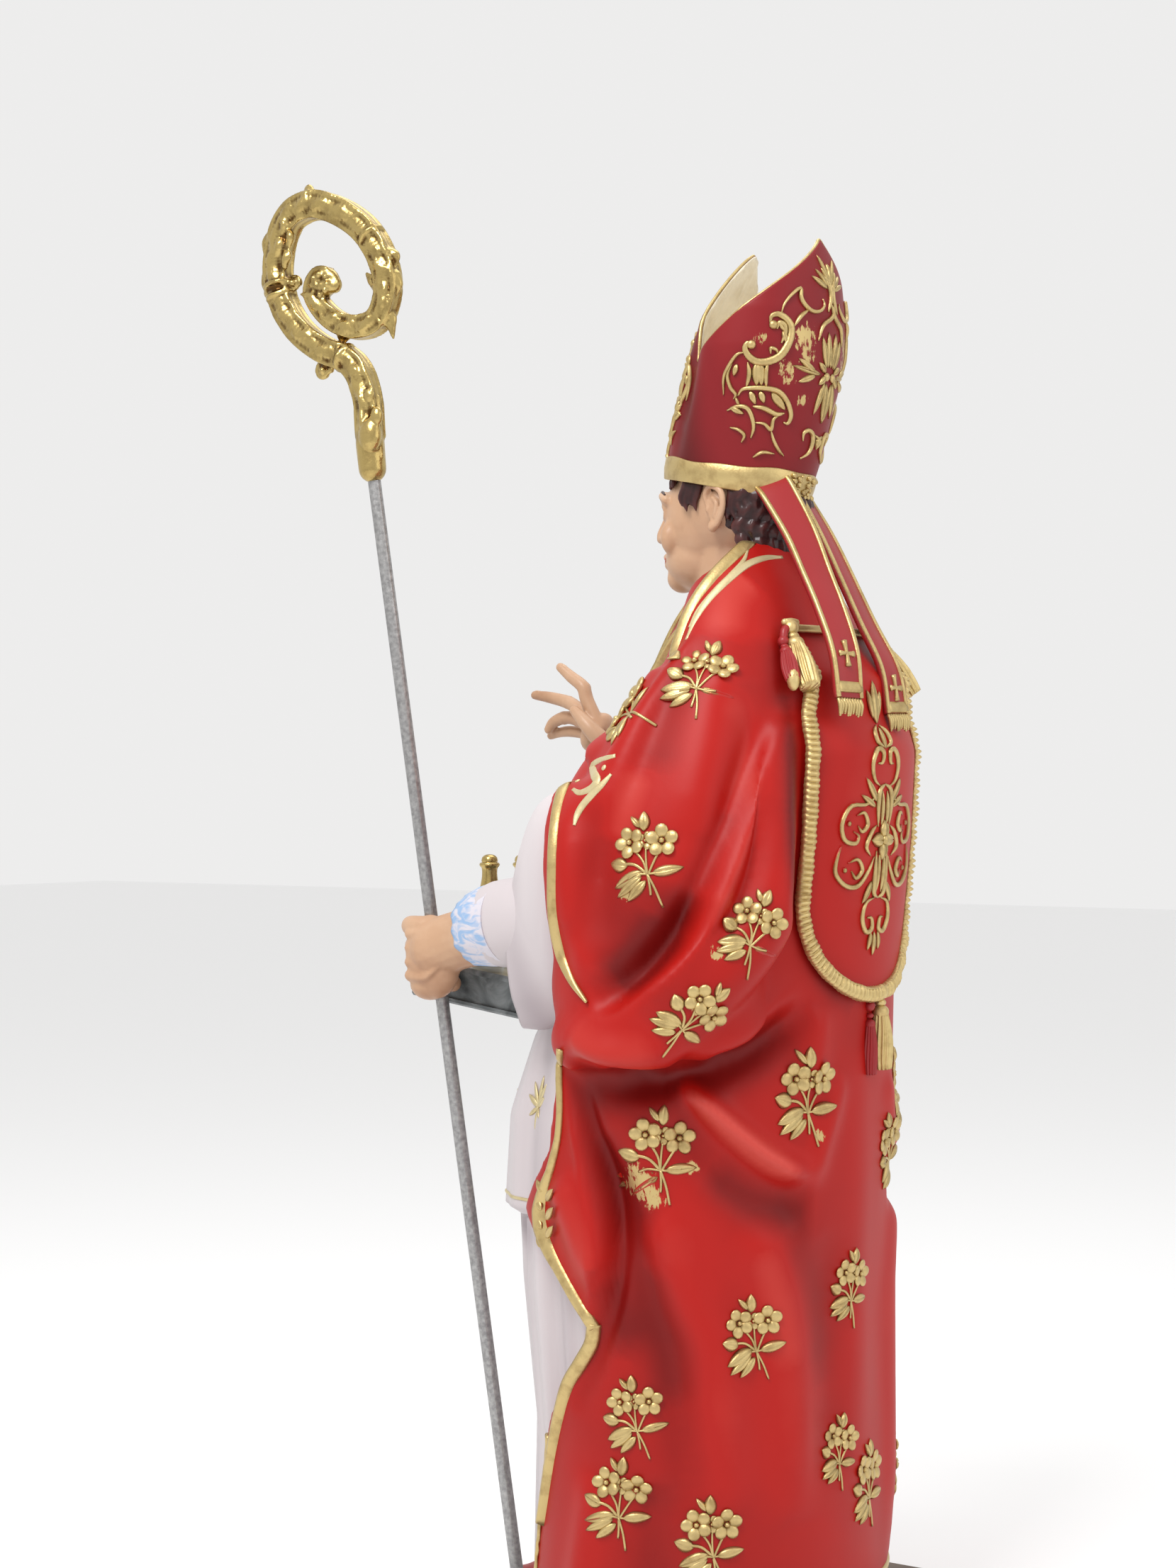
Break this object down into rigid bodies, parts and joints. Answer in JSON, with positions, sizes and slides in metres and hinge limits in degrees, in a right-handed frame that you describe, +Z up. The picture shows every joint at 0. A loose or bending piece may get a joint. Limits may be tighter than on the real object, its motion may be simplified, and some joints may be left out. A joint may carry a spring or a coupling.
{
  "type": "religious statue",
  "caption": "Painted cast statue of a standing bishop in red cope and mitre, a hand raised in blessing, holding a crozier, with a book and small flasks, on a low base.",
  "frame": {"origin": "centre of the base's underside", "axes": "+Z up; the figure faces -Y; its left hand with the crozier is on the +X side"},
  "size_m": [0.4638, 0.6016, 1.3642],
  "materials": {
    "base": "plain dull dark paint on a cast block",
    "figure": "hand-painted cast: red cope and mitre with gilt relief, white sleeves and surplice, flesh tones",
    "rod": "bare silver-grey metal, slightly rough",
    "crook": "bright gilding on a cast ornament",
    "book": "grey marbled paint",
    "ampoule": "gilt"
  },
  "bodies": {
    "root": {"base": "base", "figure": "figure", "crozier_rod": "rod", "crozier_crook": "crook", "book": "book", "ampoule_near": "ampoule", "ampoule_far": "ampoule"}
  },
  "joints": []
}
